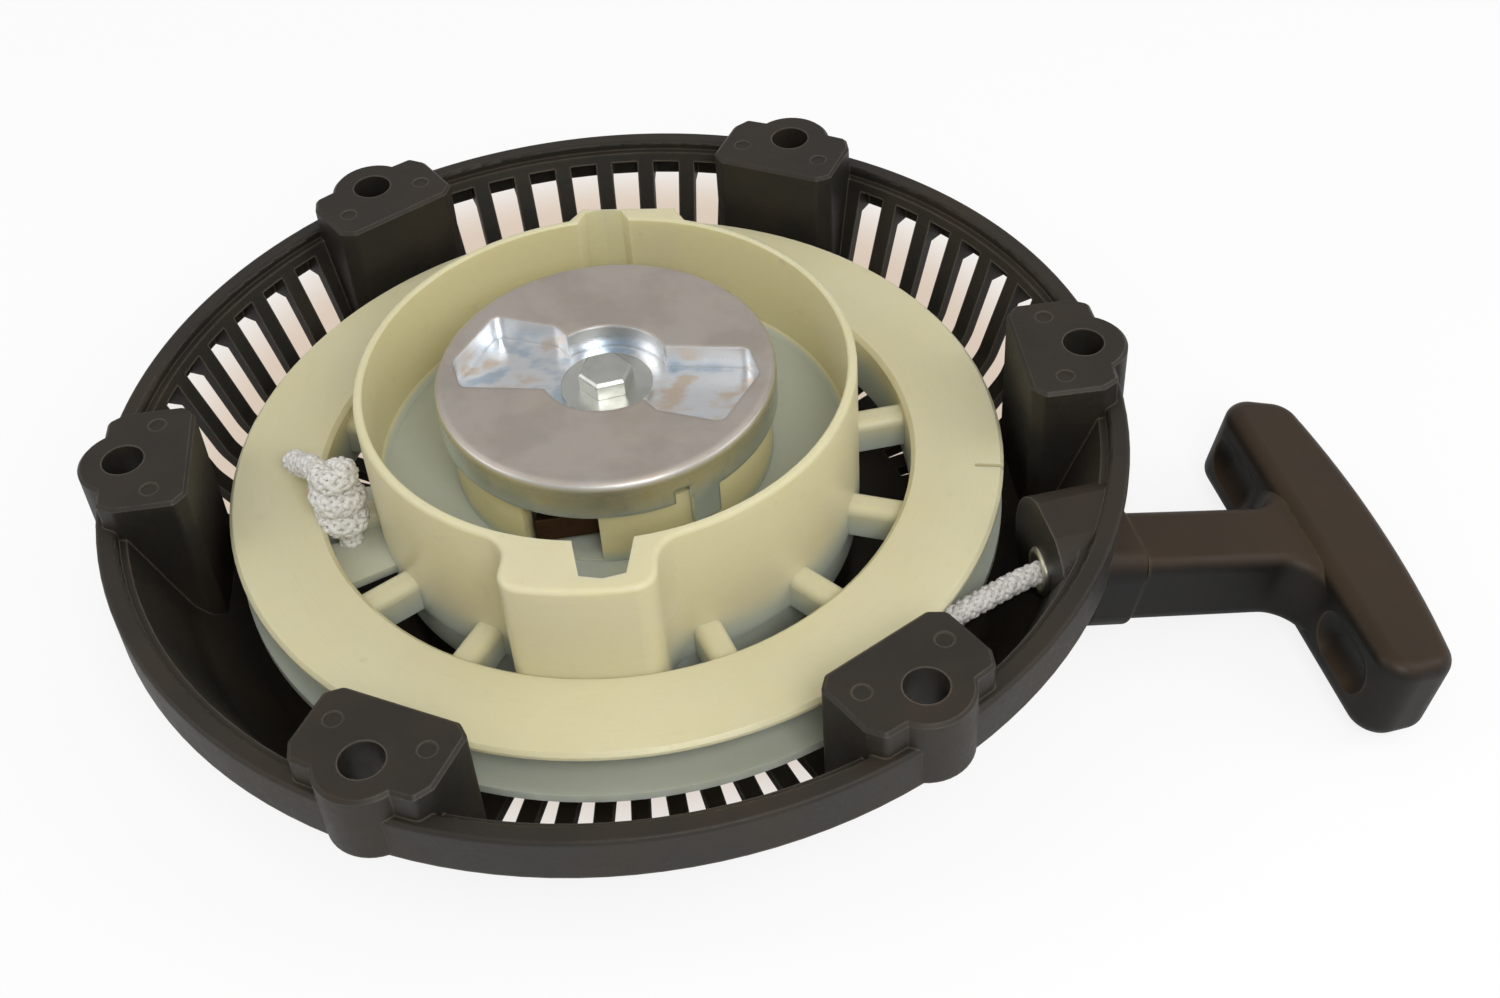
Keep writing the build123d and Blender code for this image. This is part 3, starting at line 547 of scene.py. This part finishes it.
@dataclass(frozen=True)
class GripRubber:
    """Black grip, half shiny, with painted top light that turns upward faces brown, and a gold
    painted highlight along its edges.
    """

    black: Colour = srgb(11, 11, 10)
    # brown: the painted top light on upward faces, and a little of the rubber's own tone
    brown: Colour = srgb(62, 47, 31)
    # gold: painted highlight along the edges
    gold: Colour = srgb(158, 130, 84)
    cloud_size: float = 16.0
    glint_and_wear_size: float = 3.0
    rub_and_glint_reach: float = 2.2
    grain_size: float = 0.6
    sink_size: float = 8.0
    shine: float = 0.26

    def build(self) -> bpy.types.Material:
        """Returns the material."""
        g = Graph.named("grip_rubber")
        cloud = g.noise(self.cloud_size, 4.0).ramp(0.35, 0.7)
        glint_and_wear = g.noise(self.glint_and_wear_size, 5.0)
        # Painted edge highlight: edges, broken up by noise, turn gold; the same noise also varies
        # the roughness.
        edge = (g.edges(self.rub_and_glint_reach) * (0.4 + glint_and_wear * 1.3)).ramp(0.04, 0.45)
        # Painted top light: upward faces are mixed towards brown as if lit from above; the cloud
        # share is the rubber's own tone.
        colour = g.mix(cloud * 0.15 + g.upward() * 0.7, self.black, self.brown)
        colour = g.mix(edge * 0.4, colour, self.gold)
        rough = 0.38 + glint_and_wear * 0.12 + cloud * 0.06 - edge * 0.06
        sinks = g.bump(g.noise(self.sink_size, 3.0), 0.2, 0.25)
        normal = g.bump(g.noise(self.grain_size, 3.0), 0.2, 0.06, sinks)
        return g.surface(colour, rough, 0.0, normal, specular=self.shine)


# ------------------------------------------------------------------ cord
def smooth_path(points: Sequence[Vector], spacing: float) -> list[Vector]:
    """Reads evenly spaced points off a smooth spline through a route.

    Args:
        points: the route's points in metres.
        spacing: distance between samples in metres.

    Returns:
        The samples, first and last included.
    """
    steps_between = 24
    curve = bpy.data.curves.new("route", "CURVE")
    curve.dimensions = "3D"
    spline = curve.splines.new("NURBS")
    spline.points.add(len(points) - 1)
    for target, point in zip(spline.points, points):
        target.co = (*point, 1.0)
    spline.order_u = 3
    spline.use_endpoint_u = True
    spline.resolution_u = steps_between
    holder = bpy.data.objects.new("route", curve)
    bpy.context.scene.collection.objects.link(holder)
    bpy.context.view_layer.update()
    drawn = holder.evaluated_get(bpy.context.evaluated_depsgraph_get())
    mesh = bpy.data.meshes.new_from_object(drawn)
    rough = [vertex.co.copy() for vertex in mesh.vertices]
    bpy.data.meshes.remove(mesh)
    bpy.data.objects.remove(holder)
    bpy.data.curves.remove(curve)
    lengths = [0.0]
    for first, second in zip(rough, rough[1:]):
        lengths.append(lengths[-1] + (second - first).length)
    count = max(2, round(lengths[-1] / spacing))
    samples, place = [], 0
    for step in range(count + 1):
        goal = lengths[-1] * step / count
        while place < len(rough) - 2 and lengths[place + 1] < goal:
            place += 1
        span = lengths[place + 1] - lengths[place]
        share = (goal - lengths[place]) / span if span > TINY else 0.0
        samples.append(rough[place].lerp(rough[place + 1], min(1.0, share)))
    return samples


def carried_frames(path: Sequence[Vector]) -> list[tuple[Vector, Vector]]:
    """Carries a pair of side directions along a path without twist.

    Args:
        path: sampled points.

    Returns:
        Two unit side directions at each point.
    """
    frames = []
    side: Optional[Vector] = None
    for step in range(len(path)):
        ahead = path[min(step + 1, len(path) - 1)] - path[max(step - 1, 0)]
        ahead.normalize()
        if side is None:
            side = ahead.orthogonal().normalized()
        side = (side - ahead * side.dot(ahead)).normalized()
        frames.append((side, ahead.cross(side)))
    return frames


@dataclass
class BraidedCord:
    """A round braided cord: strands that cross over and under round a core."""

    name: str
    radius: float = 2.4 * MM
    strands: int = 6
    pitch: float = 13.0 * MM
    spacing: float = 0.45 * MM
    thickness: float = 0.55 * MM
    width: float = 0.68 * MM
    strand_sides: int = 6
    core_share: float = 0.74
    crossing: float = 0.5

    def _tube(self, shape: bmesh.types.BMesh, line: Sequence[Vector],
              outs: Sequence[Vector], wide: float, thick: float) -> None:
        """Sweeps one flattened ring along a line and closes both ends.

        Args:
            shape: the mesh to add to.
            line: centre points.
            outs: outward direction at each point.
            wide: half width.
            thick: half thickness.
        """
        sides = self.strand_sides
        first = bmesh.ops.create_circle(shape, cap_ends=True, segments=sides, radius=1.0)["verts"]
        last = len(line) - 1
        ring = list(first)
        rings = [ring]
        face = ring[0].link_faces[0]
        edges = list(face.edges)
        for _ in range(last):
            grown = bmesh.ops.extrude_edge_only(shape, edges=edges)["geom"]
            edges = [item for item in grown if isinstance(item, bmesh.types.BMEdge)]
            fresh = [item for item in grown if isinstance(item, bmesh.types.BMVert)]
            rings.append(self._in_order(rings[-1], fresh))
        bmesh.ops.contextual_create(shape, geom=edges)
        for step, members in enumerate(rings):
            ahead = (line[min(step + 1, last)] - line[max(step - 1, 0)]).normalized()
            out = (outs[step] - ahead * outs[step].dot(ahead)).normalized()
            beside = ahead.cross(out)
            for number, vertex in enumerate(members):
                turn = 2 * math.pi * number / sides
                vertex.co = (line[step] + beside * (wide * math.cos(turn))
                             + out * (thick * math.sin(turn)))

    @staticmethod
    def _in_order(before: Sequence[bmesh.types.BMVert],
                  fresh: Sequence[bmesh.types.BMVert]) -> list[bmesh.types.BMVert]:
        """Puts freshly extruded corners in the order of the ring they came from."""
        loose = set(fresh)
        return [next(edge.other_vert(vertex) for edge in vertex.link_edges
                     if edge.other_vert(vertex) in loose) for vertex in before]

    def _weave(self, shape: bmesh.types.BMesh, route: Sequence[Vector]) -> None:
        """Adds the core, and strands of both directions over and under each other.

        Args:
            shape: the mesh to add to.
            route: the cord's route in metres.
        """
        path = smooth_path(route, self.spacing)
        frames = carried_frames(path)
        core = self.radius * self.core_share
        self._tube(shape, path, [pair[0] for pair in frames], core, core)
        lengths = [0.0]
        for first, second in zip(path, path[1:]):
            lengths.append(lengths[-1] + (second - first).length)
        for direction in (1, -1):
            for strand in range(self.strands):
                line, outs = [], []
                for step, point in enumerate(path):
                    turns = lengths[step] / self.pitch
                    turn = 2 * math.pi * (strand / self.strands + direction * turns)
                    over = math.cos(self.strands * 2 * math.pi * turns + math.pi * strand)
                    rise = direction * over * self.thickness * self.crossing
                    side, other = frames[step]
                    out = side * math.cos(turn) + other * math.sin(turn)
                    line.append(point + out * (self.radius - self.thickness + rise))
                    outs.append(out)
                self._tube(shape, line, outs, self.width, self.thickness)

    def build(self, route: Sequence[Vector]) -> bpy.types.Object:
        """Makes the cord.

        Args:
            route: its route in metres.

        Returns:
            The cord as one object at the origin.
        """
        shape = bmesh.new()
        self._weave(shape, route)
        bmesh.ops.recalc_face_normals(shape, faces=shape.faces)
        for item in shape.faces:
            item.smooth = True
        return as_object(self.name, shape)


def as_object(name: str, shape: bmesh.types.BMesh) -> bpy.types.Object:
    """Turns a bmesh into an object in the scene and frees it.

    Args:
        name: the object's name.
        shape: the mesh.

    Returns:
        The object.
    """
    mesh = bpy.data.meshes.new(name)
    shape.to_mesh(mesh)
    shape.free()
    made = bpy.data.objects.new(name, mesh)
    bpy.context.scene.collection.objects.link(made)
    return made


def polar(radius: float, angle: float, height: float) -> Vector:
    """Returns a point in metres from millimetres and degrees."""
    turn = math.radians(angle)
    return Vector((radius * math.cos(turn), radius * math.sin(turn), height)) * MM


@dataclass
class PullCord:
    """The cord where it shows: from the drum through the eyelet to the grip, and its knot.

    Sizes are in millimetres and degrees. The knot's points give radius, angle and height.
    """

    finish: bpy.types.Material
    lay_radius: float = 76.5
    rope_height: float = -22.35
    side: float = 2.3
    hidden_lead: float = 20.0
    bend_inset: float = 4.5
    exit_radius: float = 99.5
    exit_angle: float = -22.8
    exit_turn: float = 10.5
    droop: float = 13.5
    mouth: float = 6.0
    knot_cord: float = 2.7
    knot_strand: float = 0.74
    knot_foot: Place = (61.0, 193.6, -17.6)
    knot_head: Place = (61.7, 190.2, -4.4)
    knot_radius: float = 3.7
    knot_taper: float = 0.34
    knot_lean: float = 0.9
    knot_lean_turn: float = 0.8
    knot_turns: float = 2.6
    knot_end: float = 220.0
    knot_steps: int = 24
    knot_rise: tuple[Place, ...] = ((61.0, 194.2, -22.5), (61.0, 194.0, -20.0))
    knot_tail: tuple[Place, ...] = ((65.6, 186.2, -6.6), (68.4, 182.8, -9.8), (71.4, 179.4, -11.6))

    def exit(self) -> Vector:
        """Returns the middle of the eyelet."""
        return polar(self.exit_radius, self.exit_angle, self.rope_height)

    def pull(self) -> Vector:
        """Returns the direction in which the cord leaves."""
        turn = math.radians(self.exit_turn)
        return Vector((math.cos(turn), math.sin(turn), 0.0))

    def grip_way(self) -> Vector:
        """Returns the direction of the drooping grip."""
        fall = math.radians(self.droop)
        return self.pull() * math.cos(fall) - Vector((0.0, 0.0, math.sin(fall)))

    def leaving(self) -> tuple[Vector, Vector]:
        """Returns where the cord leaves the drum, and the bend before the eyelet."""
        bend = self.exit() - self.pull() * self.bend_inset * MM
        reach = math.hypot(bend.x, bend.y) / MM
        turn = math.degrees(math.atan2(bend.y, bend.x))
        turn -= math.degrees(math.acos(self.lay_radius / reach))
        return polar(self.lay_radius, turn, self.rope_height - self.side), bend

    def run(self) -> bpy.types.Object:
        """Returns the cord from the drum to the grip."""
        start, bend = self.leaving()
        way = (bend - start).normalized()
        begin = start + way * self.hidden_lead * MM
        mouth = self.exit() + self.grip_way() * self.mouth * MM
        route = [begin, bend - way * 14 * MM, bend - way * 4 * MM, bend + self.pull() * 2 * MM,
                 self.exit() + self.pull() * 1.0 * MM, mouth - self.grip_way() * 1.5 * MM,
                 mouth + self.grip_way() * 3 * MM]
        cord = BraidedCord("cord_run").build(route)
        self.exit() - self.pull() * 1.0 * MM
        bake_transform(cord)
        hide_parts("rope_run", "rope_lead")
        self._dress(cord)
        return cord

    def knot(self) -> bpy.types.Object:
        """Returns the stopper knot, wound up from the drum's hole, with its loose end."""
        foot, head = polar(*self.knot_foot), polar(*self.knot_head)
        wraps = []
        for step in range(self.knot_steps + 1):
            share = step / self.knot_steps
            turn = math.radians(self.knot_end + 360.0 * self.knot_turns * (1.0 - share))
            full = math.sin(math.pi * share) ** 0.6
            wide = self.knot_radius * (1.0 - self.knot_taper + self.knot_taper * full)
            lean = self.knot_lean * math.sin(turn + self.knot_lean_turn)
            wraps.append(foot.lerp(head, share)
                         + Vector((math.cos(turn) * wide, math.sin(turn) * wide, lean)) * MM)
        route = [*(polar(*point) for point in self.knot_rise), *wraps,
                 *(polar(*point) for point in self.knot_tail)]
        cord = BraidedCord("cord_knot", radius=self.knot_cord * MM,
                           width=self.knot_strand * MM).build(route)
        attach(cord, "drum")
        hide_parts("rope_knot")
        self._dress(cord)
        return cord

    def _dress(self, cord: bpy.types.Object) -> None:
        """Gives a cord its finish."""
        cord.data.materials.append(self.finish)


# ------------------------------------------------------------------ studio
@dataclass(frozen=True)
class Lamp:
    """A square soft lamp: its name, place and edge in metres, and power in watts."""

    name: str
    place: Place
    size: float
    power: float


@dataclass
class Studio:
    """Pale floor with a warm painted shade under the part, soft lights and the camera."""

    camera_place: Place = (28.96, -324.29, 284.30)
    camera_right: Place = (0.99736, -0.05080, -0.05191)
    camera_up: Place = (0.07263, 0.69758, 0.71281)
    lens: float = 47.545
    sensor: float = 36.0
    floor_reach: float = 6.0
    floor_glow: float = 0.85
    # patch: a warm painted shade on the floor under and behind the part
    patch_left: float = 3.5
    patch_back: float = 40.0
    patch_inner: float = 96.0
    patch_outer: float = 130.0
    patch_tone: Colour = srgb(226, 208, 191)
    surround: float = 0.53
    aim: Place = (0.02, 0.0, -0.01)
    lamps: tuple[Lamp, ...] = (Lamp("key", (0.14, -0.44, 0.42), 0.24, 1.4),
                               Lamp("fill", (0.75, -0.1, 0.5), 0.5, 1.5),
                               Lamp("side", (-0.75, -0.05, 0.6), 0.5, 1.5))

    def camera(self) -> bpy.types.Object:
        """Returns the camera."""
        data = bpy.data.cameras.new("camera")
        data.lens = self.lens
        data.sensor_width = self.sensor
        data.sensor_fit = "HORIZONTAL"
        data.clip_start = 0.01
        made = bpy.data.objects.new("camera", data)
        right = Vector(self.camera_right)
        back = right.cross(Vector(self.camera_up)).normalized()
        up = back.cross(right).normalized()
        turned = Matrix((right.normalized(), up, back)).transposed().to_4x4()
        made.matrix_world = Matrix.Translation(Vector(self.camera_place) * MM) @ turned
        bpy.context.scene.collection.objects.link(made)
        bpy.context.scene.camera = made
        return made

    def floor(self, height: float) -> bpy.types.Object:
        """Returns the floor at a height, white with a faint warm painted shade under and behind
        the part.

        Args:
            height: metres.

        Returns:
            The floor.
        """
        shape = bmesh.new()
        bmesh.ops.create_grid(shape, x_segments=1, y_segments=1, size=self.floor_reach)
        bmesh.ops.translate(shape, verts=shape.verts, vec=(0, 0, height))
        made = as_object("floor", shape)
        g = Graph.named("floor")
        # Painted shade: the floor is tinted warm under and behind the part, where the housing's
        # slots show it.
        across, along = g.axis("X") + self.patch_left, g.axis("Y") - self.patch_back
        away = (across * across + along * along).power(0.5)
        under = 1.0 - away.ramp(self.patch_inner, self.patch_outer)
        tone = g.mix(under, WHITE, self.patch_tone)
        shade = g.node("ShaderNodeBsdfDiffuse", None, {"Color": tone})
        glow = g.node("ShaderNodeEmission", None, {"Color": tone, "Strength": 1.0})
        rays = g.node("ShaderNodeLightPath")
        seen = Term(g, rays.outputs["Is Camera Ray"]) * self.floor_glow
        both = g.node("ShaderNodeMixShader", None,
                      {0: seen, 1: shade.outputs[0], 2: glow.outputs[0]})
        g.node("ShaderNodeOutputMaterial", None, {"Surface": both.outputs[0]})
        made.data.materials.append(g.material)
        return made

    def light(self, lamp: Lamp) -> None:
        """Adds one soft lamp that faces the part."""
        data = bpy.data.lights.new(lamp.name, "AREA")
        data.size = lamp.size
        data.energy = lamp.power
        made = bpy.data.objects.new(lamp.name, data)
        ahead = Vector(self.aim) - Vector(lamp.place)
        turned = ahead.to_track_quat("-Z", "Y").to_matrix().to_4x4()
        made.matrix_world = Matrix.Translation(lamp.place) @ turned
        bpy.context.scene.collection.objects.link(made)

    def world(self) -> None:
        """Sets an even pale surround, white where the camera sees it."""
        made = bpy.data.worlds.new("surround")
        g = Graph(made)
        even = g.node("ShaderNodeBackground", None, {"Color": WHITE, "Strength": self.surround})
        pale = g.node("ShaderNodeBackground", None, {"Color": WHITE, "Strength": 1.0})
        rays = g.node("ShaderNodeLightPath")
        both = g.node("ShaderNodeMixShader", None, {0: rays.outputs["Is Camera Ray"],
                                                    1: even.outputs[0], 2: pale.outputs[0]})
        g.node("ShaderNodeOutputWorld", None, {"Surface": both.outputs[0]})
        bpy.context.scene.world = made

    def build(self, floor_height: float) -> None:
        """Sets the whole studio up."""
        self.camera()
        self.floor(floor_height)
        self.world()
        for lamp in self.lamps:
            self.light(lamp)
        bpy.context.scene.view_settings.view_transform = "Standard"


# ------------------------------------------------------------------ assembly
@dataclass
class Starter:
    """Every CAD piece with its finish."""

    finishes: dict[str, bpy.types.Material] = field(default_factory=dict)

    def make_finishes(self) -> None:
        """Builds one material for each slot."""
        self.finishes = {
            "housing_plastic": HousingPlastic().build(),
            "drum_nylon": DrumNylon().build(),
            "zinc_steel": MetalFinish(Metal.ZINC).build(),
            "spring_steel": MetalFinish(Metal.SPRING).build(),
            "pawl_steel": MetalFinish(Metal.PAWL).build(),
            "eyelet_steel": MetalFinish(Metal.EYELET).build(),
            "brass_insert": MetalFinish(Metal.BRASS).build(),
            "bush_bronze": MetalFinish(Metal.BRONZE).build(),
            "rope": BraidedNylon().build(),
            "grip_rubber": GripRubber().build(),
        }

    def dress(self) -> None:
        """Gives each CAD node the finish of its slot, and the pressed plate its own."""
        plate = ZincPlate().build()
        for part in frame["record"]["subparts"]:
            node = frame["nodes"][part["node"]]
            pressed = part["node"] == "guide_plate"
            chosen = plate if pressed else self.finishes[part["material_slot"]]
            if not node.data.materials:
                node.data.materials.append(chosen)
            for slot in node.material_slots:
                slot.material = chosen
            log.info("%s: %s", part["node"], chosen.name)


def main() -> None:
    """Builds the looks in order."""
    logging.basicConfig(level=logging.INFO, format="%(name)s %(message)s")
    starter = Starter()
    starter.make_finishes()
    starter.dress()
    cord = PullCord(finish=starter.finishes["rope"])
    for piece in (cord.run(), cord.knot()):
        log.info("%s: %d faces", piece.name, len(piece.data.polygons))
    Studio().build(floor_height=CAD_BOX[0][2])


if __name__ == "__main__":
    main()
